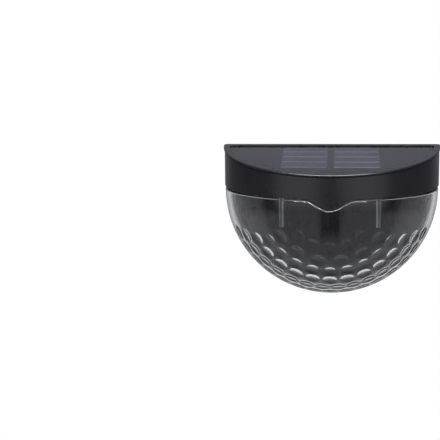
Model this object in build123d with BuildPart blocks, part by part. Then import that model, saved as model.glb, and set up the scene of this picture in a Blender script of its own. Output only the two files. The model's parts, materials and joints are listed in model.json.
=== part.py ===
from build123d import *

import math
import os

# Half-moon solar fence light. Millimetres. The origin is on the flat back face, at the centre
# of the round lens; +Z is up and -Y points away from the fence, towards the viewer.

# Driving dimensions of the shell
frame_radius = 65.0  # top frame in plan, so the light is 130 wide and 65 deep
band_radius = 64.4
band_inner_radius = 62.9
lens_radius = 64.0
lens_inner_radius = 61.4
collar_radius = 62.7  # lens wall where it tucks up inside the band
corner_radius = 2.0
top_height = 26.5  # top edge at the back face
top_slope = math.radians(9.0)  # the top falls towards the front
band_bottom = 2.1
apron_half_width, apron_drop = 12.45, 6.84  # the V before its corners are rounded
apron_tip = band_bottom - apron_drop
apron_tip_radius, apron_shoulder_radius = 9.2, 8.0
parting_gap = 0.9  # between the band and the lens
lens_edge_chamfer = 0.9

# Levels in the top, measured straight down from the sloped top surface
rim_width = 3.8
frame_lip = 1.4
rim_round = 0.65  # of the outer top edge
groove_width = 0.35
window_level = 0.7
board_level = 2.1
tape_level = 3.3
ledge_level = 3.8
ledge_bottom = 5.3

# Solar cells: two blocks of strips either side of the centre line, distances from the back face
cell_block_inner, cell_block_outer = 2.0, 28.3
cell_block_back, cell_block_front = 5.2, 47.0
strips_per_block, strip_gap = 4, 0.35
cell_thickness = 0.25
ribbon_width, ribbon_thickness = 0.9, 0.08

# Back opening: a half disc under a rectangle, closed by the back plate on a seal
plate_half_width = 61.0
plate_top = 17.6
plate_thickness = 2.4
plate_gap = 0.3
seal_thickness = 1.2
opening_half_width = 58.6
opening_top = 15.6
rail_top = 19.1
shoulder_depth = plate_thickness + seal_thickness
back_wall = shoulder_depth + 1.4
upper_wall = 2.2
boss_x, boss_z, boss_radius = 56.0, 12.8, 3.2

# Bumps inside the lens wall, in rings about the front pole: angle from the pole, pitch round it
bump_radius = 4.4
bump_height = 0.5
bump_limit = -17.0  # the wall above this height is smooth
bump_rings = [
    (25.6, 21.2, 0.0), (34.4, 21.2, 0.5), (42.9, 13.8, 0.0),
    (51.3, 11.93, 0.0), (60.4, 9.75, 0.5), (69.8, 9.42, 0.0),
]
rib_x, rib_top, rib_foot = 27.0, 4.5, -15.0
rib_top_width, rib_foot_width = 2.4, 1.6
collar_top, collar_back = 8.0, 5.6
hook_angles = (-75, -45, -12, 12, 45, 75)  # snaps between collar and band, from straight ahead

# Floor of the upper compartment, and what stands on it
tray_bottom, tray_top = 6.0, 7.6
tray_radius = 61.1
tray_back = 8.0
post_radius = 2.75
post_places = [(0, -57.4), (-50.4, -27.5), (50.4, -27.5)]
pcb_bottom, pcb_thickness = 9.6, 1.2
pcb_length, pcb_width, pcb_y = 44.0, 18.0, -36.0
led_strip_length, led_strip_width, led_strip_y = 84.0, 8.0, -38.0
led_count, led_spacing = 6, 12.0
cell_axis_y, cell_axis_z = -15.0, 14.05
cell_radius, sleeve_radius = 5.1, 5.25
cell_left, cell_right, nub_right = -20.6, 22.9, 23.9
cradle_half_length = 25.5
wire_radius = 0.6

# Keyholes and switch in the back plate
keyhole_x, keyhole_z = 36.0, 5.5
keyhole_radius, keyhole_slot_radius, keyhole_rise = 4.0, 2.0, 6.0
cup_depth, cup_wall = 7.2, 1.2
switch_z = 11.0
knob_length, knob_height, knob_travel, knob_clearance = 4.4, 3.4, 3.0, 0.4

os.makedirs("parts", exist_ok=True)


def write(part, name):
    part.label = name
    export_step(part, f"parts/{name}.step")


def top_level(drop):
    """Plane parallel to the sloped top, drop mm below it."""
    normal = (0, -math.sin(top_slope), math.cos(top_slope))
    return Plane(origin=(0, 0, top_height - drop), x_dir=(1, 0, 0), z_dir=normal)


def top_z(y, drop):
    """Height of that plane at y."""
    return top_height - drop + y * math.tan(top_slope)


def on_cylinder(edge, radius):
    """Whether both ends and the middle of an edge lie at this distance from the Z axis."""
    return all(abs(math.hypot((edge @ t).X, (edge @ t).Y) - radius) < 0.01 for t in (0, 0.5, 1))


def half_moon(height, radius, back, corner):
    """Half disc in plan, its straight side at y = -back, with both back corners rounded."""
    half = math.sqrt(radius**2 - back**2)
    with BuildSketch(Plane.XY.offset(height)) as face:
        with BuildLine():
            Line((-half, -back), (half, -back))
            ThreePointArc((half, -back), (0, -radius), (-half, -back))
        make_face()
        fillet(face.vertices(), corner)
    return face.sketch


def slab(radius, back, corner, upper, lower):
    """Half-moon plate between two levels under the sloped top."""
    with BuildPart() as body:
        extrude(half_moon(0, radius, back, corner), amount=2 * top_height)
        split(bisect_by=top_level(upper), keep=Keep.BOTTOM)
        split(bisect_by=top_level(lower), keep=Keep.TOP)
    return body.part


def below_edge(drop):
    """Everything under the band's lower edge, with the V of the apron, lowered by drop."""
    edge, tip, far, deep = band_bottom - drop, apron_tip - drop, 80, -90
    with BuildPart() as body:
        with BuildSketch(Plane.XZ) as face:
            with BuildLine():
                Polyline(
                    (-far, edge), (-apron_half_width, edge), (0, tip), (apron_half_width, edge),
                    (far, edge), (far, deep), (-far, deep), close=True,
                )
            make_face()
            fillet(face.vertices().sort_by_distance((0, tip))[0], apron_tip_radius)
            for side in (-1, 1):
                shoulder = face.vertices().sort_by_distance((side * apron_half_width, edge))[0]
                fillet(shoulder, apron_shoulder_radius)
        extrude(amount=far, both=True)
    return body.part


def back_outline(depth, half_width, top, corner):
    """Outline of the back opening on the plane y = -depth."""
    with BuildSketch(Plane.XZ.offset(depth)) as face:
        with BuildLine():
            Polyline((-half_width, 0), (-half_width, top), (half_width, top), (half_width, 0))
            ThreePointArc((half_width, 0), (0, -half_width), (-half_width, 0))
        make_face()
        fillet(face.vertices().group_by(Axis.Y)[-1], corner)
    return face.sketch


def self_tapper(plane, head_radius, head_height, shank_radius, length):
    """Cross-recessed screw whose head stands on the plane's upper side and its shank below."""
    with BuildPart() as body:
        with BuildSketch(plane):
            Circle(head_radius)
        extrude(amount=head_height)
        fillet(body.faces().sort_by(Axis(plane.origin, plane.z_dir))[-1].edges(), 0.3 * head_height)
        with BuildSketch(plane):
            Circle(shank_radius)
        extrude(amount=-length)
        with BuildSketch(plane.offset(head_height)):
            Rectangle(1.3 * head_radius, 0.3 * head_radius)
            Rectangle(0.3 * head_radius, 1.3 * head_radius)
        extrude(amount=-0.6 * head_height, mode=Mode.SUBTRACT)
    return body.part


def wire(points, bend=1.0, radius=wire_radius):
    """Round wire along straight runs joined by tangent arcs."""
    with BuildPart() as body:
        with BuildLine() as route:
            FilletPolyline(*points, radius=bend)
        with BuildSketch(Plane(origin=route.line @ 0, z_dir=route.line % 0)):
            Circle(radius)
        sweep()
    return body.part


def block(xs, ys, zs):
    """Square-cornered block between pairs of coordinates."""
    with BuildPart() as body:
        with Locations(((xs[0] + xs[1]) / 2, (ys[0] + ys[1]) / 2, (zs[0] + zs[1]) / 2)):
            Box(abs(xs[1] - xs[0]), abs(ys[1] - ys[0]), abs(zs[1] - zs[0]))
    return body.part


def pillar(places, radius, bottom, top):
    """Upright cylinders of one radius between two heights."""
    with BuildPart() as body:
        with BuildSketch(Plane.XY.offset(bottom)):
            with Locations(*places):
                Circle(radius)
        extrude(amount=top - bottom)
    return body.part


def around(angle, radius, height):
    """Place at this angle from straight ahead, turned so that its own Y is radial."""
    turn = math.radians(angle)
    return Location((radius * math.sin(turn), -radius * math.cos(turn), height), (0, 0, angle))


plate_pocket = back_outline(0, plate_half_width + plate_gap, plate_top + plate_gap, 2.3)
back_opening = back_outline(shoulder_depth, opening_half_width, opening_top, 2.0)
below_band = below_edge(0)
below_lens_edge = below_edge(parting_gap)

# Top frame: a lip that covers the band, a wall inside it and the ledge that carries the panel
frame_lip_body = slab(frame_radius, 0, corner_radius, 0, frame_lip)
frame_wall_body = slab(collar_radius, upper_wall + 0.15, 2.2, frame_lip, ledge_bottom)
frame_recess = slab(frame_radius - rim_width, rim_width, 2.0, -2, ledge_level)
frame_window = slab(57.5, 7.6, 2.0, ledge_level - 1, ledge_bottom + 1)
with BuildPart() as top_frame:
    add(frame_lip_body)
    add(frame_wall_body)
    add(frame_recess, mode=Mode.SUBTRACT)
    add(frame_window, mode=Mode.SUBTRACT)
    rim_edges = top_frame.faces().sort_by(Axis(top_level(0).origin, top_level(0).z_dir))[-1].edges()
    fillet(rim_edges.filter_by(lambda e: e.bounding_box().size.X > 123.5), rim_round)
    for x, y in post_places:
        with BuildSketch(Plane.XY.offset(tray_top)):
            with Locations((x, y)):
                Circle(post_radius)
        extrude(amount=top_z(y, ledge_bottom) - tray_top + 0.9)
        with BuildSketch(Plane.XY.offset(tray_top)):
            with Locations((x, y)):
                Circle(1.1)
        extrude(amount=3.9, mode=Mode.SUBTRACT)
write(top_frame.part, "top_frame")

# Side band: curved skirt with the apron, open at the back, with a shoulder for the seal
with BuildPart() as side_band:
    extrude(half_moon(apron_tip - 1, band_radius, 0, corner_radius), amount=2 * top_height)
    split(bisect_by=top_level(frame_lip + groove_width), keep=Keep.BOTTOM)
    lower_room = half_moon(apron_tip - 2, band_inner_radius, back_wall, 2.4)
    extrude(lower_room, amount=rail_top - apron_tip + 2, mode=Mode.SUBTRACT)
    upper_room = half_moon(rail_top, band_inner_radius, upper_wall, 2.4)
    extrude(upper_room, amount=top_height, mode=Mode.SUBTRACT)
    extrude(plate_pocket, amount=shoulder_depth, mode=Mode.SUBTRACT)
    extrude(back_opening, amount=back_wall - shoulder_depth + 0.1, mode=Mode.SUBTRACT)
    add(below_band, mode=Mode.SUBTRACT)
    lower_edges = side_band.edges().filter_by(lambda e: on_cylinder(e, band_radius))
    chamfer(lower_edges.filter_by(lambda e: (e @ 0.5).Z < band_bottom + 0.2), 0.4)
    for side in (-1, 1):
        with BuildSketch(Plane.XZ.offset(shoulder_depth)):
            with Locations((side * boss_x, boss_z)):
                Circle(boss_radius)
        extrude(amount=7.4)
        with BuildSketch(Plane.XZ.offset(shoulder_depth)):
            with Locations((side * boss_x, boss_z)):
                Circle(1.1)
        extrude(amount=6.4, mode=Mode.SUBTRACT)
    with Locations(*[around(angle, 62.6, 5.2) for angle in hook_angles]):
        Box(5.4, 1.2, 1.4)
write(side_band.part, "side_band")

# Lens: quarter of a hollow sphere with a thick back rim and a collar that goes up into the band
with BuildPart() as lens_envelope:
    add(below_lens_edge)
    collar_foot = band_bottom - 9
    extrude(half_moon(collar_foot, collar_radius, collar_back, 2.2), amount=collar_top - collar_foot)

with BuildPart() as lens_room:
    Sphere(lens_inner_radius)
    split(bisect_by=Plane.XY, keep=Keep.BOTTOM)
    Cylinder(lens_inner_radius, 2 * collar_top, align=(Align.CENTER, Align.CENTER, Align.MIN))
    split(bisect_by=Plane.XZ.offset(back_wall), keep=Keep.TOP)

with BuildPart() as lens_ribs:
    with BuildSketch(Plane.XZ):
        for side in (-1, 1):
            with Locations((side * rib_x, 0)):
                Polygon(
                    (-rib_top_width / 2, rib_top), (rib_top_width / 2, rib_top),
                    (rib_foot_width / 2, rib_foot), (-rib_foot_width / 2, rib_foot), align=None,
                )
    extrude(amount=lens_radius)
    Sphere(lens_inner_radius + 0.8, mode=Mode.INTERSECT)
    Sphere(lens_inner_radius - 2.6, mode=Mode.SUBTRACT)

# One bump: a shallow spherical dome on a short plug that is buried in the wall
dome_base = math.sqrt(lens_inner_radius**2 - bump_radius**2)
dome_apex = lens_inner_radius - bump_height
dome_rise = dome_base - dome_apex
dome_radius = (bump_radius**2 + dome_rise**2) / (2 * dome_rise)
with BuildPart() as bump:
    with Locations((0, 0, dome_apex + dome_radius)):
        Sphere(dome_radius)
    with Locations((0, 0, dome_apex)):
        plug = (Align.CENTER, Align.CENTER, Align.MIN)
        Cylinder(bump_radius, dome_rise + 1, align=plug, mode=Mode.INTERSECT)

bump_directions = []
for pole_angle, pitch, phase in bump_rings:
    pole = math.radians(pole_angle)
    for step in range(-9, 9):
        turn = math.radians((step + phase) * pitch)
        toward = (math.sin(pole) * math.sin(turn), -math.cos(pole), -math.sin(pole) * math.cos(turn))
        if abs(turn) < math.pi / 2 and toward[2] * lens_inner_radius < bump_limit:
            bump_directions.append(toward)

with BuildPart() as lens:
    Sphere(lens_radius)
    split(bisect_by=Plane.XZ, keep=Keep.TOP)
    add(lens_envelope.part, mode=Mode.INTERSECT)
    on_sphere = lens.edges().filter_by(lambda e: abs((e @ 0.5).length - lens_radius) < 0.01)
    chamfer(on_sphere.filter_by(lambda e: (e @ 0.5).Y < -8), lens_edge_chamfer)
    add(lens_room.part, mode=Mode.SUBTRACT)
    extrude(plate_pocket, amount=shoulder_depth, mode=Mode.SUBTRACT)
    extrude(back_opening, amount=back_wall - shoulder_depth + 0.1, mode=Mode.SUBTRACT)
    with Locations(*[around(angle, 62.0, 5.2) for angle in hook_angles]):
        Box(6.0, 3.0, 2.0, mode=Mode.SUBTRACT)
    add(lens_ribs.part)
    for toward in bump_directions:
        add(bump.part.moved(Plane(origin=(0, 0, 0), z_dir=toward).location))
write(lens.part, "lens")

# Solar panel: cells on a board under poured clear resin, on a tape frame in the recess
panel_radius, panel_back, panel_corner = frame_radius - rim_width - 0.25, rim_width + 0.25, 1.8
solar_board_body = slab(panel_radius, panel_back, panel_corner, board_level, tape_level)
window_body = slab(panel_radius, panel_back, panel_corner, window_level, board_level)
tape_body = slab(panel_radius, panel_back, panel_corner, tape_level, ledge_level)
tape_hole = slab(58.0, 7.1, 2.0, tape_level - 1, ledge_level + 1)
strip_pitch = (cell_block_front - cell_block_back) / strips_per_block
strip_size = (cell_block_outer - cell_block_inner, strip_pitch / math.cos(top_slope) - strip_gap)
strip_places = [
    (side * (cell_block_inner + cell_block_outer) / 2,
     -(cell_block_back + (row + 0.5) * strip_pitch) / math.cos(top_slope))
    for side in (-1, 1)
    for row in range(strips_per_block)
]
ribbon_places = [(x, y - strip_size[1] / 2 + ribbon_width) for x, y in strip_places]

with BuildPart() as solar_cells:
    with BuildSketch(top_level(board_level)):
        with Locations(*strip_places):
            Rectangle(*strip_size)
    extrude(amount=cell_thickness)
write(solar_cells.part, "solar_cells")

with BuildPart() as cell_ribbons:
    with BuildSketch(top_level(board_level).offset(cell_thickness)):
        with Locations(*ribbon_places):
            Rectangle(strip_size[0] - 0.6, ribbon_width)
    extrude(amount=ribbon_thickness)
write(cell_ribbons.part, "cell_ribbons")

with BuildPart() as solar_window:
    add(window_body)
    add(solar_cells.part, mode=Mode.SUBTRACT)
    add(cell_ribbons.part, mode=Mode.SUBTRACT)
write(solar_window.part, "solar_window")

with BuildPart() as solar_board:
    add(solar_board_body)
write(solar_board.part, "solar_board")

with BuildPart() as panel_tape:
    add(tape_body)
    add(tape_hole, mode=Mode.SUBTRACT)
write(panel_tape.part, "panel_tape")

# Back plate: closes the back, with the keyholes, the switch and the hooks that hold its lower edge
plate_outline = back_outline(0, plate_half_width, plate_top, 2.0)
cup_half_width, cup_bottom, cup_top = 6.2, 0.0, 15.3
boss_places = [(-boss_x, boss_z), (boss_x, boss_z)]
keyhole_places = [(-keyhole_x, keyhole_z), (keyhole_x, keyhole_z)]
switch_screw_x = 9.5
with BuildPart() as back_plate:
    extrude(plate_outline, amount=plate_thickness)
    add(block((-55.8, 55.8), (-7.6, -1.0), (tray_bottom, tray_top)))
    for x in (-keyhole_x, keyhole_x):
        add(block((x - cup_half_width, x + cup_half_width), (-cup_depth, -1.0), (cup_bottom, cup_top)))
    for x in (-keyhole_x, keyhole_x):
        room = (x - cup_half_width + cup_wall, x + cup_half_width - cup_wall)
        heights = (cup_bottom + cup_wall, cup_top - cup_wall)
        add(block(room, (cup_wall - cup_depth, -plate_thickness), heights), mode=Mode.SUBTRACT)
    with BuildSketch(Plane.XZ):
        with Locations(*keyhole_places):
            Circle(keyhole_radius)
        with Locations(*[(x, z + keyhole_rise / 2) for x, z in keyhole_places]):
            Rectangle(2 * keyhole_slot_radius, keyhole_rise)
        with Locations(*[(x, z + keyhole_rise) for x, z in keyhole_places]):
            Circle(keyhole_slot_radius)
    extrude(amount=plate_thickness, mode=Mode.SUBTRACT)
    with BuildSketch(Plane.XZ.offset(plate_thickness)):
        with Locations((-switch_screw_x, switch_z), (switch_screw_x, switch_z)):
            Circle(2.2)
    extrude(amount=0.8)
    with BuildSketch(Plane.XZ.offset(plate_thickness + 0.8)):
        with Locations((-switch_screw_x, switch_z), (switch_screw_x, switch_z)):
            Circle(0.8)
    extrude(amount=-2.2, mode=Mode.SUBTRACT)
    with BuildSketch(Plane.XZ):
        with Locations((0, switch_z)):
            RectangleRounded(14, 8, 2)
    extrude(amount=0.8, mode=Mode.SUBTRACT)
    with BuildSketch(Plane.XZ):
        with Locations((0, switch_z)):
            Rectangle(knob_length + knob_travel + 2 * knob_clearance, knob_height + 2 * knob_clearance)
    extrude(amount=plate_thickness, mode=Mode.SUBTRACT)
    with BuildSketch(Plane.XZ):
        with Locations((-switch_screw_x, switch_z)):
            Circle(1.3)
            Circle(0.8, mode=Mode.SUBTRACT)
        with Locations((switch_screw_x, switch_z)):
            Rectangle(0.5, 2.6)
    extrude(amount=0.3, mode=Mode.SUBTRACT)
    for depth, radius in ((1.4, 2.6), (plate_thickness, 1.3)):
        with BuildSketch(Plane.XZ):
            with Locations(*boss_places):
                Circle(radius)
        extrude(amount=depth, mode=Mode.SUBTRACT)
    for angle in (-35, 35):
        with Locations(Location((0, 0, 0), (0, angle, 0))):
            with Locations((0, -4.0, -57.2)):
                Box(8.0, 5.0, 2.0)
            with Locations((0, -5.85, -58.6)):
                Box(8.0, 1.3, 3.2)
write(back_plate.part, "back_plate")

# Silicone seal in the shoulder, with an eyelet for each screw
with BuildPart() as back_seal:
    extrude(back_outline(plate_thickness, plate_half_width, plate_top, 2.0), amount=seal_thickness)
    seal_inside = back_outline(plate_thickness, opening_half_width, opening_top, 2.0)
    extrude(seal_inside, amount=seal_thickness, mode=Mode.SUBTRACT)
    for radius, mode in ((boss_radius, Mode.ADD), (1.6, Mode.SUBTRACT)):
        with BuildSketch(Plane.XZ.offset(plate_thickness)):
            with Locations(*boss_places):
                Circle(radius)
        extrude(amount=seal_thickness, mode=mode)
write(back_seal.part, "back_seal")

with BuildPart() as back_screws:
    for x, z in boss_places:
        add(self_tapper(Plane(origin=(x, -1.4, z), z_dir=(0, 1, 0)), 2.3, 1.3, 1.1, 8.0))
write(back_screws.part, "back_screws")

# Floor of the upper compartment
led_screw_places = [(-36.0, led_strip_y), (36.0, led_strip_y)]
led_wire_places = [(-2.2, -40.0), (2.2, -40.0)]
pcb_screw_places = [(-18.5, -43.0), (18.5, -43.0)]
pcb_rest_places = [(-18.5, -29.0), (18.5, -29.0)]
cradle_peg_places = [(-15.0, cell_axis_y), (15.0, cell_axis_y)]
with BuildPart() as inner_tray:
    extrude(half_moon(tray_bottom, tray_radius, tray_back, 2.0), amount=tray_top - tray_bottom)
    add(pillar(led_screw_places, 2.0, tray_top - 0.5, tray_top + 1.8))
    add(pillar(pcb_screw_places + pcb_rest_places, 2.0, tray_top - 0.5, pcb_bottom))
    add(pillar(led_screw_places, 0.9, tray_bottom, tray_top + 1.4), mode=Mode.SUBTRACT)
    add(pillar(pcb_screw_places, 0.8, tray_bottom + 0.6, pcb_bottom), mode=Mode.SUBTRACT)
    add(pillar(post_places, 1.3, tray_bottom, tray_top), mode=Mode.SUBTRACT)
    add(pillar(cradle_peg_places, 1.5, tray_bottom, tray_top), mode=Mode.SUBTRACT)
    add(block((-4.0, 4.0), (-41.5, -38.5), (tray_bottom, tray_top)), mode=Mode.SUBTRACT)
write(inner_tray.part, "inner_tray")

with BuildPart() as tray_screws:
    for x, y in post_places:
        add(self_tapper(Plane(origin=(x, y, tray_bottom), z_dir=(0, 0, -1)), 2.2, 1.5, 1.1, 5.5))
write(tray_screws.part, "tray_screws")

# LEDs on a strip board under the floor, shining down into the lens
led_board_bottom = tray_bottom - 1.0
with BuildPart() as led_board:
    with BuildSketch(Plane.XY.offset(led_board_bottom)):
        with Locations((0, led_strip_y)):
            RectangleRounded(led_strip_length, led_strip_width, 1.0)
        with Locations(*led_screw_places):
            Circle(1.1, mode=Mode.SUBTRACT)
    extrude(amount=tray_bottom - led_board_bottom)
write(led_board.part, "led_board")

led_places = [((n - (led_count - 1) / 2) * led_spacing, led_strip_y) for n in range(led_count)]
with BuildPart() as leds:
    with BuildSketch(Plane.XY.offset(led_board_bottom - 0.8)):
        with Locations(*led_places):
            Rectangle(3.5, 2.8)
    extrude(amount=0.8)
    with BuildSketch(Plane.XY.offset(led_board_bottom - 0.8)):
        with Locations(*led_places):
            Circle(1.15)
    extrude(amount=0.2, mode=Mode.SUBTRACT)
write(leds.part, "leds")

with BuildPart() as led_board_screws:
    for x, y in led_screw_places:
        add(self_tapper(Plane(origin=(x, y, led_board_bottom), z_dir=(0, 0, -1)), 1.8, 1.2, 0.9, 3.9))
write(led_board_screws.part, "led_board_screws")

# Charge and drive board with its parts
pcb_top = pcb_bottom + pcb_thickness
with BuildPart() as control_board:
    with BuildSketch(Plane.XY.offset(pcb_bottom)):
        with Locations((0, pcb_y)):
            RectangleRounded(pcb_length, pcb_width, 1.0)
        with Locations(*pcb_screw_places):
            Circle(1.1, mode=Mode.SUBTRACT)
    extrude(amount=pcb_thickness)
write(control_board.part, "control_board")

with BuildPart() as control_board_screws:
    for x, y in pcb_screw_places:
        add(self_tapper(Plane(origin=(x, y, pcb_top)), 1.7, 1.1, 0.8, 3.9))
write(control_board_screws.part, "control_board_screws")

chip_x, chip_y, lead_pitch = -6.0, -38.0, 1.27
with BuildPart() as controller_chip:
    chip_plan = (chip_x - 2.45, chip_x + 2.45), (chip_y - 1.95, chip_y + 1.95)
    add(block(*chip_plan, (pcb_top + 0.15, pcb_top + 1.6)))
    for lead in (-1.5, -0.5, 0.5, 1.5):
        with BuildSketch(Plane.YZ.offset(chip_x + lead * lead_pitch)):
            for side in (-1, 1):
                with BuildLine():
                    Polyline(
                        (chip_y + side * 1.9, pcb_top + 0.75), (chip_y + side * 2.5, pcb_top + 0.75),
                        (chip_y + side * 2.7, pcb_top), (chip_y + side * 3.2, pcb_top),
                        (chip_y + side * 3.2, pcb_top + 0.2), (chip_y + side * 2.85, pcb_top + 0.2),
                        (chip_y + side * 2.65, pcb_top + 0.95), (chip_y + side * 1.9, pcb_top + 0.95),
                        close=True,
                    )
                make_face()
        extrude(amount=0.2, both=True)
write(controller_chip.part, "controller_chip")

# Drum choke lying on the board, with a lead bent down at each end
choke_x, choke_y, choke_z = 6.0, -31.0, pcb_top + 2.1
with BuildPart() as inductor:
    with BuildSketch(Plane.YZ.offset(choke_x)):
        with Locations((choke_y, choke_z)):
            Circle(1.6)
    extrude(amount=4.5, both=True)
    for x in (choke_x - 4.5, choke_x + 3.3):
        with BuildSketch(Plane.YZ.offset(x)):
            with Locations((choke_y, choke_z)):
                Circle(2.0)
        extrude(amount=1.2)
    for side in (-1, 1):
        start, foot = choke_x + side * 4.3, choke_x + side * 6.0
        add(wire([(start, choke_y, choke_z), (foot, choke_y, choke_z), (foot, choke_y, pcb_top)], 0.8, 0.3))
write(inductor.part, "inductor")

capacitor_place = [(8.0, -40.5)]
with BuildPart() as capacitor:
    add(pillar(capacitor_place, 2.5, pcb_top, pcb_top + 4.6))
    fillet(capacitor.faces().sort_by(Axis.Z)[-1].edges(), 0.4)
    add(pillar(capacitor_place, 2.7, pcb_top + 0.6, pcb_top + 0.9), mode=Mode.SUBTRACT)
    add(pillar(capacitor_place, 2.3, pcb_top + 0.4, pcb_top + 1.1))
write(capacitor.part, "capacitor")

# Cell, its sleeve, the cradle and the two contacts
cell_axis = Plane.YZ.offset(cell_left)
cradle_end = cradle_half_length - 1.2
with BuildPart() as battery_cell:
    with BuildSketch(cell_axis):
        with Locations((cell_axis_y, cell_axis_z)):
            Circle(cell_radius)
    extrude(amount=cell_right - cell_left)
    fillet(battery_cell.edges().filter_by(GeomType.CIRCLE), 0.5)
    with BuildSketch(cell_axis):
        with Locations((cell_axis_y, cell_axis_z)):
            Circle(1.9)
    extrude(amount=nub_right - cell_left)
write(battery_cell.part, "battery_cell")

with BuildPart() as battery_sleeve:
    with BuildSketch(cell_axis.offset(0.5)):
        with Locations((cell_axis_y, cell_axis_z)):
            Circle(sleeve_radius)
            Circle(cell_radius, mode=Mode.SUBTRACT)
    extrude(amount=cell_right - cell_left - 1.0)
write(battery_sleeve.part, "battery_sleeve")

cradle_floor = cell_axis_z - sleeve_radius
cradle_inner = (cell_axis_y - 5.5, cell_axis_y + 5.5)
cradle_outer = (cell_axis_y - 6.5, cell_axis_y + 6.4)
with BuildPart() as battery_cradle:
    add(block((-cradle_half_length, cradle_half_length), cradle_outer, (tray_top, 16.0)))
    add(block((-cradle_end, cradle_end), cradle_inner, (cradle_floor, 20)), mode=Mode.SUBTRACT)
    add(block((-cradle_end, cradle_end), (cell_axis_y, 0), (10.5, 20)), mode=Mode.SUBTRACT)
    add(block((-cradle_end, cradle_end), (-30, cell_axis_y), (14.0, 20)), mode=Mode.SUBTRACT)
    for side in (-1, 1):
        ends = (side * cradle_end, side * (cradle_half_length + 1))
        add(block(ends, (-30, cell_axis_y - 4.6), (14.0, 20)), mode=Mode.SUBTRACT)
    add(pillar(cradle_peg_places, 1.5, tray_bottom, tray_top + 0.5))
write(battery_cradle.part, "battery_cradle")


def contact_plate(side):
    """Sheet contact against the end wall of the cradle, with a solder tab over the front wall."""
    faces = (side * (cradle_end - 0.4), side * cradle_end)
    with BuildPart() as body:
        add(block(faces, (cell_axis_y - 4.5, cell_axis_y + 4.5), (9.4, 17.4)))
        add(block(faces, (cell_axis_y - 8.3, cell_axis_y - 4.0), (14.3, 16.3)))
    return body.part


with BuildPart() as battery_spring:
    add(contact_plate(-1))
    spring_start = (-cradle_end + 0.65, cell_axis_y, cell_axis_z)
    with BuildLine() as coil:
        Helix(1.2, cell_left - spring_start[0] - 0.3, 3.0, center=spring_start, direction=(1, 0, 0))
    with BuildSketch(Plane(origin=coil.line @ 0, z_dir=coil.line % 0)):
        Circle(0.3)
    sweep(path=coil.line, is_frenet=True)
write(battery_spring.part, "battery_spring")

with BuildPart() as positive_contact:
    add(contact_plate(1))
write(positive_contact.part, "positive_contact")

# Slide switch: body with a flange against the plate, and the knob that slides in it
flange_back = plate_thickness + 0.8
flange_front = flange_back + 0.8
with BuildPart() as switch_body:
    add(block((-12.4, 12.4), (-flange_front, -flange_back), (switch_z - 2.6, switch_z + 2.6)))
    add(block((-5.0, 5.0), (-8.0, -flange_front), (switch_z - 2.8, switch_z + 2.8)))
    add(block((-3.2, 3.2), (-6.0, 0), (switch_z - 1.2, switch_z + 1.2)), mode=Mode.SUBTRACT)
    with BuildSketch(Plane.XZ.offset(flange_back)):
        with Locations((-switch_screw_x, switch_z), (switch_screw_x, switch_z)):
            Circle(1.0)
    extrude(amount=flange_front - flange_back, mode=Mode.SUBTRACT)
write(switch_body.part, "switch_body")

knob_left = -(knob_length + knob_travel) / 2
knob_x = (knob_left, knob_left + knob_length)
stem_x = (knob_left + knob_length / 2 - 1.2, knob_left + knob_length / 2 + 1.2)
with BuildPart() as switch_knob:
    add(block(knob_x, (-flange_back + 0.1, -0.9), (switch_z - knob_height / 2, switch_z + knob_height / 2)))
    for x in (knob_x[0] + 0.9, knob_x[0] + 2.2, knob_x[0] + 3.5):
        add(block((x - 0.3, x + 0.3), (-1.0, -0.4), (switch_z - 1.5, switch_z + 1.5)))
    add(block(stem_x, (-5.8, -flange_back + 0.1), (switch_z - 0.9, switch_z + 0.9)))
write(switch_knob.part, "switch_knob")

with BuildPart() as switch_screws:
    for side in (-1, 1):
        place = Plane(origin=(side * switch_screw_x, -flange_front, switch_z), z_dir=(0, -1, 0))
        add(self_tapper(place, 1.7, 1.0, 0.8, 2.8))
write(switch_screws.part, "switch_screws")

# Wires from the panel, the cell and the switch down to the control board, and from it to the LEDs
panel_wire_start = top_z(-24.6, tape_level)
panel_wire_level = 14.5
for x, colour in ((-12, "red"), (-15, "black")):
    route = [
        (x, -24, panel_wire_start), (x, -24, panel_wire_level),
        (x, -30, panel_wire_level), (x, -30, pcb_top),
    ]
    write(wire(route), f"panel_wire_{colour}")

battery_wire_level = 12.8
for side, colour in ((-1, "black"), (1, "red")):
    tab_x, pad_x = side * 24.1, side * 20.0
    route = [
        (tab_x, -22.7, 14.3), (tab_x, -22.7, battery_wire_level),
        (pad_x, -31.0, battery_wire_level), (pad_x, -31.0, pcb_top),
    ]
    write(wire(route), f"battery_wire_{colour}")

switch_wire_level, switch_pad_x = 12.4, -20.5
for name, back_y, corner_x, pad_y in (("1", -5.8, -28.3, -38.0), ("2", -7.3, -26.8, -35.5)):
    plan = [(-5.0, back_y), (corner_x, back_y), (corner_x, pad_y), (switch_pad_x, pad_y)]
    route = [(x, y, switch_wire_level) for x, y in plan] + [(switch_pad_x, pad_y, pcb_top)]
    write(wire(route), f"switch_wire_{name}")

for (x, y), colour in zip(led_wire_places, ("red", "black")):
    write(pillar([(x, y)], wire_radius, tray_bottom, pcb_bottom), f"led_wire_{colour}")
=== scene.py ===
import json
import math

import bmesh
import bpy
import numpy as np
from mathutils import Matrix, Vector


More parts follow.
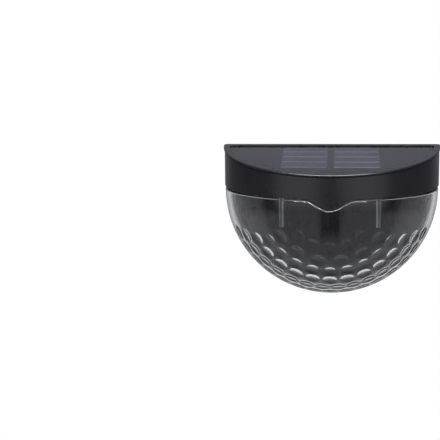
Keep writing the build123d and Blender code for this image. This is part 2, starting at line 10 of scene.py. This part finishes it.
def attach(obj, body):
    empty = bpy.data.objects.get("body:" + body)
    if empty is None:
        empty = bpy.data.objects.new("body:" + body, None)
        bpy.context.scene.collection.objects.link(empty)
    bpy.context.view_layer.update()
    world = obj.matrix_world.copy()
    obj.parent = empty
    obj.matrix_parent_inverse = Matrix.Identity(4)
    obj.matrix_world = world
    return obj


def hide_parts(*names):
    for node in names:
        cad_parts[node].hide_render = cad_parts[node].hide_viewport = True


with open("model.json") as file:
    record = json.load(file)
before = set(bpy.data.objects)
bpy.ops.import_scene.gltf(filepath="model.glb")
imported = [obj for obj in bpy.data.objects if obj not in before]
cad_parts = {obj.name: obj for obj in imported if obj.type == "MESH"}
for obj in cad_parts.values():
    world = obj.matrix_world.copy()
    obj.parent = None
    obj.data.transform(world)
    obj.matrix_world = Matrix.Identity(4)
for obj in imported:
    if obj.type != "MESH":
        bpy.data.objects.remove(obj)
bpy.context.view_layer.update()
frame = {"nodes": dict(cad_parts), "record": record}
nodes = frame["nodes"]
MM = 0.001

# ---------------------------------------------------------------- sizes shared with the model, mm
LENS_R, LENS_IN = 64.0, 61.4
COLLAR_R, COLLAR_TOP = 62.7, 8.0
EDGE_Z, APRON_X, APRON_DROP = 1.2, 12.45, 6.84
APRON_TIP_R, APRON_SHOULDER_R = 9.2, 8.0
PLATE_R, OPEN_R = 61.3, 58.6
SHOULDER, BACK_WALL = 3.6, 5.0
BUMP_R, BUMP_H, BUMP_TOP_Z = 4.4, 0.5, -17.0
BUMP_RINGS = [(25.6, 21.2, 0.0), (34.4, 21.2, 0.5), (42.9, 13.8, 0.0),
              (51.3, 11.93, 0.0), (60.4, 9.75, 0.5), (69.8, 9.42, 0.0)]
RIB_X, RIB_TOP, RIB_FOOT, RIB_R = 27.0, 4.5, -15.0, 59.1
WINDOW_R, WINDOW_BACK, WINDOW_CORNER = 60.95, 4.05, 1.8
TOP_H, SLOPE = 26.5, math.radians(9.0)
EDGE_ROUND = 0.9


# ---------------------------------------------------------------- material helpers
def linear(*srgb):
    out = []
    for c in srgb:
        c = c / 255
        out.append(c / 12.92 if c <= 0.04045 else ((c + 0.055) / 1.055) ** 2.4)
    return (*out, 1.0)


class Nodes:
    """Small builder for a material's node tree."""

    def __init__(self, name):
        self.mat = bpy.data.materials.new(name)
        self.mat.use_nodes = True
        self.tree = self.mat.node_tree
        self.bsdf = self.tree.nodes["Principled BSDF"]
        self.coord = self.tree.nodes.new("ShaderNodeTexCoord")

    def add(self, kind, inputs=None, **props):
        n = self.tree.nodes.new(kind)
        for k, v in props.items():
            setattr(n, k, v)
        for k, v in (inputs or {}).items():
            if isinstance(v, bpy.types.NodeSocket):
                self.tree.links.new(v, n.inputs[k])
            else:
                n.inputs[k].default_value = v
        return n

    def link(self, a, b):
        self.tree.links.new(a, b)

    def noise(self, scale, detail=4.0, rough=0.55, stretch=None):
        vec = self.coord.outputs["Object"]
        if stretch:
            vec = self.add("ShaderNodeMapping", {"Vector": vec, "Scale": stretch}).outputs[0]
        return self.add("ShaderNodeTexNoise", {"Vector": vec, "Scale": scale, "Detail": detail,
                                               "Roughness": rough}).outputs[0]

    def ramp(self, fac, low, high, a, b):
        """Colours a to b as fac goes from low to high."""
        n = self.add("ShaderNodeValToRGB", {"Fac": fac})
        n.color_ramp.elements[0].position, n.color_ramp.elements[1].position = low, high
        n.color_ramp.elements[0].color, n.color_ramp.elements[1].color = a, b
        return n.outputs[0]

    def span(self, value, low, high, to_low, to_high):
        return self.add("ShaderNodeMapRange", {"Value": value, "From Min": low, "From Max": high,
                                               "To Min": to_low, "To Max": to_high}).outputs[0]

    def bump(self, height, distance):
        return self.add("ShaderNodeBump", {"Height": height, "Distance": distance}).outputs[0]

    def set(self, **values):
        for k, v in values.items():
            socket = self.bsdf.inputs[k.replace("_", " ")]
            if isinstance(v, bpy.types.NodeSocket):
                self.link(v, socket)
            else:
                socket.default_value = v
        return self


def plastic(name, dark, pale, rough, grain=0.000006, grain_scale=2600):
    """Moulded plastic: faint cloudy colour, fine grain and a little uneven gloss."""
    m = Nodes(name)
    cloud = m.noise(45, 5, 0.6)
    fine = m.noise(grain_scale, 3, 0.6)
    streak = m.noise(220, 6, 0.65, stretch=(1.0, 1.0, 0.25))
    m.set(Base_Color=m.ramp(cloud, 0.32, 0.7, dark, pale))
    gloss = m.add("ShaderNodeMix", {0: 0.5, 2: cloud, 3: streak}, data_type="FLOAT")
    m.set(Roughness=m.span(gloss.outputs[0], 0.3, 0.7, *rough))
    m.set(Normal=m.bump(fine, grain), IOR=1.5)
    return m.mat


def metal(name, dark, pale, rough):
    """Sheet or turned metal, brushed along one way."""
    m = Nodes(name)
    brushed = m.noise(900, 4, 0.6, stretch=(1.0, 0.15, 1.0))
    m.set(Base_Color=m.ramp(brushed, 0.3, 0.7, dark, pale), Metallic=1.0)
    m.set(Roughness=m.span(brushed, 0.3, 0.7, *rough), Normal=m.bump(brushed, 0.000015))
    return m.mat


def clear(name, tint, rough=(0.0, 0.03)):
    """Clear moulded plastic: polished, with faint flow waves and a trace of haze."""
    m = Nodes(name)
    flow = m.noise(60, 3, 0.5)
    haze = m.noise(400, 5, 0.7)
    red, green, blue = tint
    m.set(Base_Color=m.ramp(flow, 0.3, 0.7, (*tint, 1), (red + 0.01, green + 0.008, blue, 1)))
    m.set(Roughness=m.span(haze, 0.55, 0.8, *rough), Normal=m.bump(flow, 0.000004))
    m.set(Transmission_Weight=1.0, IOR=1.49)
    return m.mat


def board(name, dark, pale, gloss=0.5):
    """Printed board: solder mask with the fibre weave just showing and faint tracks."""
    m = Nodes(name)
    place = m.coord.outputs["Object"]
    weave = m.add("ShaderNodeTexWave", {"Vector": place, "Scale": 700.0, "Distortion": 0.6})
    tracks = m.add("ShaderNodeTexBrick", {"Vector": place, "Scale": 190.0, "Mortar Size": 0.03})
    tone = m.add("ShaderNodeMix", {0: 0.3, 2: weave.outputs[1], 3: tracks.outputs[1]}, data_type="FLOAT")
    m.set(Base_Color=m.ramp(tone.outputs[0], 0.1, 0.9, dark, pale))
    m.set(Roughness=m.span(m.noise(300), 0.3, 0.7, 0.3, 0.45), Normal=m.bump(tracks.outputs[1], 0.00003))
    m.set(Specular_IOR_Level=gloss)
    return m.mat


def silicon(name):
    """Dark blue-grey cells: fine fingers across each strip and a crystal mottle."""
    m = Nodes(name)
    fingers = m.add("ShaderNodeTexWave", {"Vector": m.coord.outputs["Object"], "Scale": 320.0},
                    bands_direction="X", wave_profile="SIN")
    mottle = m.noise(60, 5, 0.6, stretch=(0.5, 1.0, 1.0))
    tone = m.ramp(mottle, 0.3, 0.7, linear(44, 44, 54), linear(57, 57, 69))
    lines = m.ramp(fingers.outputs[1], 0.93, 0.99, (0, 0, 0, 1), (1, 1, 1, 1))
    mix = m.add("ShaderNodeMix", {0: lines, 6: tone, 7: linear(78, 78, 90)}, data_type="RGBA")
    m.set(Base_Color=mix.outputs[2], Roughness=m.span(mottle, 0.3, 0.7, 0.28, 0.4))
    m.set(Normal=m.bump(fingers.outputs[1], 0.00001), Specular_IOR_Level=0.0)
    return m.mat


FINE, COARSE = {"grain": 0.00001}, {"grain": 0.00003}
FOAM = {"grain": 0.0001, "grain_scale": 900}
PLASTICS = {  # darkest and palest colour, roughness range, grain
    "black_abs": ((32, 32, 37), (38, 38, 43), (0.24, 0.32), {}),
    "foam_tape": ((16, 16, 16), (30, 30, 30), (0.8, 0.95), FOAM),
    "silicone": ((60, 60, 63), (74, 74, 77), (0.5, 0.62), FINE),
    "chip_black": ((26, 26, 27), (38, 38, 40), (0.45, 0.6), COARSE),
    "ferrite": ((52, 52, 56), (70, 70, 74), (0.4, 0.6), COARSE),
    "knob_grey": ((140, 140, 142), (156, 156, 158), (0.35, 0.5), {}),
    "wire_red": ((150, 20, 22), (176, 30, 30), (0.35, 0.5), FINE),
    "wire_black": ((20, 20, 21), (30, 30, 31), (0.35, 0.5), FINE),
    "green_sleeve": ((40, 120, 70), (54, 140, 84), (0.2, 0.32), FINE),
    "led_package": ((226, 200, 90), (240, 220, 130), (0.3, 0.5), FINE),
}
METALS = {  # darkest and palest colour, roughness range
    "screw_steel": ((150, 150, 154), (186, 186, 190), (0.22, 0.38)),
    "contact_steel": ((168, 164, 158), (200, 198, 192), (0.22, 0.38)),
    "cell_can": ((170, 170, 172), (200, 200, 202), (0.22, 0.38)),
    "capacitor_can": ((176, 176, 180), (208, 208, 212), (0.22, 0.38)),
    "tinned_ribbon": ((120, 122, 132), (150, 152, 160), (0.35, 0.5)),
}
BOARDS = {  # darkest and palest colour, surface gloss
    "green_laminate": ((22, 74, 46), (40, 104, 66), 0.5),
    "white_laminate": ((206, 206, 200), (226, 226, 222), 0.5),
    "black_laminate": ((30, 30, 34), (38, 38, 42), 0.0),
}
MATS = {name: plastic(name, linear(*dark), linear(*pale), rough, **grain)
        for name, (dark, pale, rough, grain) in PLASTICS.items()}
MATS |= {name: metal(name, linear(*dark), linear(*pale), rough)
         for name, (dark, pale, rough) in METALS.items()}
MATS |= {name: board(name, linear(*dark), linear(*pale), gloss)
         for name, (dark, pale, gloss) in BOARDS.items()}
# the lens itself is clear; its grey tint is painted shade that darkens everything seen through it
MATS["clear_lens"] = clear("clear_lens", (0.62, 0.625, 0.64))
MATS["clear_resin"] = clear("clear_resin", (0.93, 0.94, 0.96), rough=(0.02, 0.06))
MATS["silicon"] = silicon("silicon")

slots = {s["node"]: s["material_slot"] for s in frame["record"]["subparts"]}
for name, obj in nodes.items():
    obj.data.materials.clear()
    obj.data.materials.append(MATS[slots[name]])


# ---------------------------------------------------------------- mesh helpers
def make_object(name, verts_mm, faces, slot, sharp=30.0):
    me = bpy.data.meshes.new(name)
    me.from_pydata([tuple(v) for v in np.asarray(verts_mm) * MM], [], faces)
    me.update()
    bm = bmesh.new()
    bm.from_mesh(me)
    bmesh.ops.remove_doubles(bm, verts=bm.verts, dist=2e-7)
    bmesh.ops.recalc_face_normals(bm, faces=bm.faces)
    bm.to_mesh(me)
    bm.free()
    me.polygons.foreach_set("use_smooth", [True] * len(me.polygons))
    me.set_sharp_from_angle(angle=math.radians(sharp))
    obj = bpy.data.objects.new(name, me)
    bpy.context.scene.collection.objects.link(obj)
    me.materials.append(MATS[slot])
    return obj


def grid_faces(index):
    """Quads over a 2-D array of vertex numbers."""
    q = np.stack([index[:-1, :-1], index[1:, :-1], index[1:, 1:], index[:-1, 1:]], -1)
    return q.reshape(-1, 4).tolist()


# ---------------------------------------------------------------- lens
def edge_z(x, drop=0.0):
    """Top edge of the lens under the band, with the rounded V of the apron."""
    x = abs(x)
    tilt = math.atan2(APRON_DROP, APRON_X)
    reach = APRON_SHOULDER_R * math.tan(tilt / 2)
    far, near = APRON_X + reach, APRON_X - reach * math.cos(tilt)
    tip_z = EDGE_Z - APRON_DROP
    if x >= far:
        z = EDGE_Z
    elif x >= near:
        z = EDGE_Z - APRON_SHOULDER_R + math.sqrt(APRON_SHOULDER_R**2 - (x - far) ** 2)
    elif x >= APRON_TIP_R * math.sin(tilt):
        z = tip_z + x * math.tan(tilt)
    else:
        z = tip_z + APRON_TIP_R / math.cos(tilt) - math.sqrt(APRON_TIP_R**2 - x * x)
    return z - drop


def edge_point(radius, azimuth, drop=0.0, inset=0.0, upright=False):
    """Point of the edge curve on a sphere, or on an upright cylinder, at this azimuth from the front."""
    rho = radius
    for _ in range(30):
        z = edge_z(rho * math.sin(azimuth), drop)
        rho = radius if upright else math.sqrt(radius**2 - z * z) - inset
    return np.array([rho * math.sin(azimuth), -rho * math.cos(azimuth), z])


def edge_rounding(azimuth, steps=6):
    """Points over the rounded upper edge, from the sphere to the ledge."""
    turns = np.linspace(0, math.pi / 2, steps + 1)[1:]
    return [edge_point(LENS_R, azimuth, EDGE_ROUND * (1 - math.sin(a)), EDGE_ROUND * (1 - math.cos(a)))
            for a in turns]


def bump_centres():
    out = []
    for pole_angle, pitch, phase in BUMP_RINGS:
        pole = math.radians(pole_angle)
        for step in range(-9, 9):
            turn = math.radians((step + phase) * pitch)
            v = (math.sin(pole) * math.sin(turn), -math.cos(pole), -math.sin(pole) * math.cos(turn))
            if abs(turn) < math.pi / 2 and v[2] * LENS_IN < BUMP_TOP_Z:
                out.append(v)
    return np.array(out)


def dome(directions):
    """Radius of the inside wall along unit directions, with the domes standing in from it."""
    base = math.sqrt(LENS_IN**2 - BUMP_R**2)
    apex = LENS_IN - BUMP_H
    rise = base - apex
    radius = (BUMP_R**2 + rise**2) / (2 * rise)
    centre = apex + radius
    cos_a = np.clip((directions @ bump_centres().T).max(1), -1, 1)
    sin2 = 1 - cos_a**2
    inside = radius**2 - centre**2 * sin2
    reach = centre * cos_a - np.sqrt(np.clip(inside, 0, None))
    return np.where((inside > 0) & (cos_a > 0), np.minimum(reach, LENS_IN), LENS_IN)


def shell_rows(radius, ends, last_y, columns):
    """Arcs over a sphere, each in a plane that holds the right and left end and one far line below."""
    y0, z0 = ends[0][1], ends[0][2]
    line_z = (radius**2 - last_y * y0) / z0
    rows = []
    for x, y, z in ends:
        along = np.array([0.0, y - last_y, z - line_z])
        down = -along / np.linalg.norm(along)
        normal = np.array([0.0, down[2], -down[1]])
        offset = normal[1] * y + normal[2] * z
        centre = normal * offset
        ring = math.sqrt(max(radius**2 - offset**2, 0))
        rel = np.array([0.0, y, z]) - centre
        span = math.atan2(x, float(rel @ down)) if x > 1e-9 else 0.0
        turn = columns * span
        across = np.array([1.0, 0, 0])
        rows.append(centre + ring * (np.cos(turn)[:, None] * down + np.sin(turn)[:, None] * across))
    return np.array(rows)


def arc_row(radius, y, columns):
    """Half circle in an upright plane, up to the height of the edge."""
    span = math.pi / 2 + math.asin(EDGE_Z / radius)
    turn = columns * span
    return np.stack([radius * np.sin(turn), np.full_like(turn, y), -radius * np.cos(turn)], -1)


def build_lens(n_rows=190, n_cols=330):
    """Closed shell: outside, inside with its domes, the ledge for the back plate and the upper edge."""
    columns = np.linspace(-1, 1, n_cols + 1)
    limit = math.acos(BACK_WALL / LENS_IN)
    front = np.linspace(0, limit, n_rows + 1)
    azimuths = np.concatenate([front, np.linspace(limit, math.pi / 2, 9)[1:]])
    outer = shell_rows(LENS_R, [edge_point(LENS_R, a, drop=EDGE_ROUND) for a in azimuths], 0.0, columns)
    inner_ends = [edge_point(LENS_IN, a) for a in front]
    inner = shell_rows(LENS_IN, inner_ends, -BACK_WALL, columns)
    flat = inner.reshape(-1, 3)
    unit = flat / np.linalg.norm(flat, axis=1)[:, None]
    inner = (unit * dome(unit)[:, None]).reshape(inner.shape)

    verts, faces = [], []

    def store(block):
        start = sum(len(v) for v in verts)
        verts.append(block.reshape(-1, 3))
        return np.arange(len(verts[-1])).reshape(block.shape[:-1]) + start

    out_i, in_i = store(outer), store(inner)
    faces += grid_faces(out_i) + grid_faces(in_i)
    rings = [store(arc_row(r, y, columns)[None])[0] for r, y in
             ((PLATE_R, 0), (PLATE_R, -SHOULDER), (OPEN_R, -SHOULDER), (OPEN_R, -BACK_WALL))]
    faces += grid_faces(np.array([out_i[-1], *rings, in_i[-1]]))
    for side, end in ((-1, 0), (1, -1)):
        mirror = np.array([side, 1, 1])
        rows = np.array([edge_rounding(a) for a in azimuths]) * mirror
        over = [store(rows[:, k]) for k in range(rows.shape[1])]
        lip = over[-1]
        foot = store(np.array([edge_point(COLLAR_R, a, upright=True) * mirror for a in front]))
        wall = np.stack([np.sin(front), -np.cos(front), np.zeros_like(front)], -1)
        top_out = store((wall * COLLAR_R + [0, 0, COLLAR_TOP]) * mirror)
        top_in = store((wall * LENS_IN + [0, 0, COLLAR_TOP]) * mirror)
        faces += grid_faces(np.array([out_i[:, end], *over]))
        n = len(front)
        faces += grid_faces(np.array([lip[:n], foot, top_out, top_in, in_i[:, end]]))
        faces.append([foot[-1], top_out[-1], top_in[-1], in_i[-1, end]])
        outer_back = [row[-1] for row in reversed(over[:-1])] + [out_i[-1, end]]
        inner_back = [ring[end] for ring in rings] + [in_i[-1, end], foot[-1]]
        faces.append([*lip[n - 1:], *outer_back, *inner_back])
    return np.concatenate(verts), [list(map(int, f)) for f in faces]


def build_rib(side, steps=40):
    """Short upright rib on the inside wall: two bevelled ridges, closer together towards the foot."""
    slope, bevel, land, sink = math.tan(math.radians(50)), 0.52, 0.15, 0.25
    loops = []
    for z in np.linspace(RIB_TOP, RIB_FOOT, steps + 1):
        drop = min(z, 0) ** 2
        line = 0.75 + 0.26 * (z - RIB_FOOT) / (RIB_TOP - RIB_FOOT)
        outer, inner = line + bevel / 2, -line - bevel / 2
        deep = math.sqrt(RIB_R**2 - RIB_X**2 - drop)
        shallow, groove = deep + 0.75, deep + 1.5
        left, right = inner - sink, outer - bevel - land
        wall = [math.sqrt((LENS_IN + sink) ** 2 - (RIB_X + x) ** 2 - drop) for x in (outer, left)]
        profile = [
            (outer, wall[0]), (outer, deep), (outer - bevel, deep - bevel * slope),
            (right, deep - bevel * slope), (right, groove),
            (inner + bevel, groove), (inner + bevel, shallow), (inner, shallow - bevel * slope),
            (left, shallow - bevel * slope), (left, wall[1]),
        ]
        loops += [(side * (RIB_X + x), -y, z) for x, y in profile]
    idx = np.arange(len(loops)).reshape(-1, len(profile))
    wrap = np.concatenate([idx, idx[:, :1]], 1)
    faces = grid_faces(wrap) + [idx[0].tolist(), idx[-1][::-1].tolist()]
    return np.array(loops), faces


lens_v, lens_f = build_lens()
for side in (-1, 1):
    rib_v, rib_f = build_rib(side)
    lens_f += [[i + len(lens_v) for i in f] for f in rib_f]
    lens_v = np.concatenate([lens_v, rib_v])
lens = make_object("lens_shell", lens_v, lens_f, "clear_lens", sharp=24)
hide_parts("lens")
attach(lens, "shell")


# ---------------------------------------------------------------- solar window
def half_moon(radius, back, corner, arc_steps=160, corner_steps=10):
    """Outline in plan, anticlockwise, with both back corners rounded."""
    cx = math.sqrt((radius - corner) ** 2 - (back + corner) ** 2)
    cy = -(back + corner)
    start = math.atan2(cy, cx)
    pts = [(radius * math.cos(a), radius * math.sin(a))
           for a in np.linspace(-math.pi - start, start, arc_steps)]
    pts += [(cx + corner * math.cos(a), cy + corner * math.sin(a))
            for a in np.linspace(start, math.pi / 2, corner_steps)[1:]]
    pts += [(-cx + corner * math.cos(a), cy + corner * math.sin(a))
            for a in np.linspace(math.pi / 2, math.pi - start, corner_steps)[:-1]]
    return pts


def top_z(y, drop):
    return TOP_H - drop + y * math.tan(SLOPE)


def build_window():
    """Clear layer over the cells, with a small round along its upper edge."""
    loops = []
    for inset, drop in ((0.0, 2.15), (0.0, 0.95), (0.08, 0.78), (0.3, 0.7)):
        pts = half_moon(WINDOW_R - inset, WINDOW_BACK + inset, WINDOW_CORNER - inset)
        loops.append([(x, y, top_z(y, drop)) for x, y in pts])
    verts = np.array(loops)
    n = verts.shape[1]
    idx = np.arange(verts.shape[0] * n).reshape(-1, n)
    wrap = np.concatenate([idx, idx[:, :1]], 1)
    return verts.reshape(-1, 3), grid_faces(wrap) + [idx[0][::-1].tolist(), idx[-1].tolist()]


window = make_object("solar_window_clear", *build_window(), "clear_resin", sharp=12)
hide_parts("solar_window")
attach(window, "shell")


# ---------------------------------------------------------------- studio
def stage_material():
    """Pale floor: white to the eye, darker in mirrors, bright through clear parts, plain to other light."""
    m = Nodes("studio_floor")
    m.set(Base_Color=(0.8, 0.8, 0.8, 1), Roughness=0.9)
    path = m.add("ShaderNodeLightPath")
    camera, glossy, through = (path.outputs[f"Is {kind} Ray"]
                               for kind in ("Camera", "Glossy", "Transmission"))
    strength = m.span(camera, 0.0, 1.0, FLOOR_MIRRORED, 1.0)
    strength = m.add("ShaderNodeMath", {0: strength, 1: through}).outputs[0]
    white = m.add("ShaderNodeEmission", {"Color": (1, 1, 1, 1), "Strength": strength})
    shown = m.add("ShaderNodeMath", {0: camera, 1: through}, operation="MAXIMUM").outputs[0]
    shown = m.add("ShaderNodeMath", {0: shown, 1: glossy}, operation="MAXIMUM").outputs[0]
    mix = m.add("ShaderNodeMixShader", {0: shown, 1: m.bsdf.outputs[0], 2: white.outputs[0]})
    m.link(mix.outputs[0], m.tree.nodes["Material Output"].inputs[0])
    return m.mat


FLOOR_Z, FLOOR_HALF, FLOOR_NEAR, FLOOR_FAR, FLOOR_MIRRORED = -0.9, 0.6, 0.2, 1.5, 0.2
floor_mesh = bpy.data.meshes.new("floor")
corners = [(-FLOOR_HALF, FLOOR_NEAR), (FLOOR_HALF, FLOOR_NEAR),
           (FLOOR_HALF, FLOOR_FAR), (-FLOOR_HALF, FLOOR_FAR)]
floor_mesh.from_pydata([(x, y, FLOOR_Z) for x, y in corners], [], [(0, 1, 2, 3)])
floor = bpy.data.objects.new("floor", floor_mesh)
bpy.context.scene.collection.objects.link(floor)
floor_mesh.materials.append(stage_material())


# Levels that light the object and show in mirrors: the soft boxes in front, their lower part, the
# wall behind and everything else. Clear parts also show the backdrop, a little brighter at its sides.
FRONT_BOX, FRONT_LOW, BEHIND, DARK = 1.0, 0.55, 0.34, 0.15
BACKDROP, BACKDROP_SIDE = 1.0, 1.1


def build_world():
    """White to the camera. Every other ray sees two soft boxes in front with a dark gap between them and
    a grey wall behind, and a ray through clear parts sees a white backdrop behind the object too."""
    world = bpy.data.worlds.new("studio")
    bpy.context.scene.world = world
    world.use_nodes = True
    t = world.node_tree
    background = t.nodes["Background"]
    coord = t.nodes.new("ShaderNodeTexCoord")
    xyz = t.nodes.new("ShaderNodeSeparateXYZ")
    t.links.new(coord.outputs["Generated"], xyz.inputs[0])

    def math_node(op, *values):
        n = t.nodes.new("ShaderNodeMath")
        n.operation = op
        for i, v in enumerate(values):
            if isinstance(v, bpy.types.NodeSocket):
                t.links.new(v, n.inputs[i])
            else:
                n.inputs[i].default_value = v
        return n.outputs[0]

    def smooth(value, low, high, a, b):
        n = t.nodes.new("ShaderNodeMapRange")
        n.interpolation_type = "SMOOTHSTEP"
        t.links.new(value, n.inputs["Value"])
        for key, v in (("From Min", low), ("From Max", high), ("To Min", a), ("To Max", b)):
            n.inputs[key].default_value = v
        return n.outputs[0]

    def turned(from_degrees, to_degrees, a, b):
        return smooth(azimuth, math.radians(from_degrees), math.radians(to_degrees), a, b)

    x, y, z = xyz.outputs[0], xyz.outputs[1], xyz.outputs[2]
    side = math_node("ABSOLUTE", x)
    azimuth = math_node("ARCTAN2", side, math_node("MULTIPLY", y, -1.0))  # 0 at the viewer, pi behind

    # the two boxes: apart at the middle, joined low down, wider low down, dimmer below, ending above
    gap = math_node("MAXIMUM", turned(4, 17, 0.0, 1.0), smooth(z, -0.92, -0.46, 1.0, 0.0))
    edge = math_node("MAXIMUM", turned(48, 75, 1.0, 0.0), smooth(z, -0.4, -0.2, 1.0, 0.0))
    boxes = math_node("MULTIPLY", gap, edge)
    boxes = math_node("MULTIPLY", boxes, smooth(z, -0.3, -0.05, FRONT_LOW, FRONT_BOX))
    boxes = math_node("MULTIPLY", boxes, smooth(z, 0.3, 0.5, 1.0, 0.0))
    boxes = math_node("MULTIPLY", boxes, turned(100, 130, 1.0, 0.0))
    behind = math_node("MULTIPLY", turned(115, 150, 0.0, BEHIND), smooth(z, -0.4, 0.0, 0.0, 1.0))
    level = math_node("MAXIMUM", math_node("MAXIMUM", boxes, behind), DARK)

    # the backdrop fades out above and in front, and only clear parts show it
    path = t.nodes.new("ShaderNodeLightPath")
    backdrop = math_node("MAXIMUM", smooth(y, 0.7, 0.88, BACKDROP_SIDE, 0.0), BACKDROP)
    backdrop = math_node("MULTIPLY", backdrop, smooth(z, 0.15, 0.4, 1.0, 0.0))
    backdrop = math_node("MULTIPLY", backdrop, smooth(y, -0.35, 0.0, 0.0, 1.0))
    backdrop = math_node("MULTIPLY", backdrop, path.outputs["Is Transmission Ray"])
    shown = math_node("MAXIMUM", level, backdrop)
    mix = t.nodes.new("ShaderNodeMix")
    mix.data_type = "FLOAT"
    t.links.new(path.outputs["Is Camera Ray"], mix.inputs[0])
    t.links.new(shown, mix.inputs[2])
    mix.inputs[3].default_value = 1.0
    cool = t.nodes.new("ShaderNodeMix")
    cool.data_type = "RGBA"
    t.links.new(mix.outputs[0], cool.inputs[0])
    cool.inputs[6].default_value, cool.inputs[7].default_value = (0.82, 0.82, 1, 1), (1, 1, 1, 1)
    t.links.new(cool.outputs[2], background.inputs[0])
    t.links.new(mix.outputs[0], background.inputs[1])


build_world()


def area_lamp(name, place, aim, size, power):
    data = bpy.data.lights.new(name, "AREA")
    data.shape, data.size, data.size_y, data.energy = "RECTANGLE", size[0], size[1], power
    lamp = bpy.data.objects.new(name, data)
    lamp.location = place
    lamp.rotation_euler = (Vector(aim) - Vector(place)).to_track_quat("-Z", "Y").to_euler()
    bpy.context.scene.collection.objects.link(lamp)
    lamp.visible_camera = False
    return lamp


# The overhead lamp lights the surfaces and isn't mirrored. The strip is only mirrored, in the frame's edge.
ceiling = area_lamp("top_softbox", (0.0, 0.1, 1.1), (0, 0.1, 0), (1.0, 1.0), 18.0)
ceiling.visible_glossy = False
strip = area_lamp("rim_strip", (0.0, -0.64, 0.90), (0, -0.06, 0.02), (1.3, 0.3), 52.0)
strip.visible_diffuse = False
strip.visible_transmission = False

# ---------------------------------------------------------------- camera
DISTANCE, AZIMUTH, ELEVATION = 0.7597, 0.751, 8.439
YAW, PITCH, ROLL = 5.9225, -9.930, -0.63
FOCAL_PX, FRAME_PX = 1245.3, 440
cam_data = bpy.data.cameras.new("camera")
cam_data.sensor_fit, cam_data.sensor_width = "HORIZONTAL", 36.0
cam_data.lens = FOCAL_PX / FRAME_PX * 36
cam_data.clip_start = 0.01
camera = bpy.data.objects.new("camera", cam_data)
bpy.context.scene.collection.objects.link(camera)
az, el = math.radians(AZIMUTH), math.radians(ELEVATION)
ray = Vector((math.sin(az) * math.cos(el), -math.cos(az) * math.cos(el), math.sin(el)))
camera.location = DISTANCE * ray
turn = (Matrix.Rotation(math.radians(YAW), 3, "Z") @ Matrix.Rotation(math.radians(90 + PITCH), 3, "X")
        @ Matrix.Rotation(math.radians(ROLL), 3, "Z"))
camera.rotation_euler = turn.to_euler()
bpy.context.scene.camera = camera
bpy.context.scene.view_settings.view_transform = "Standard"
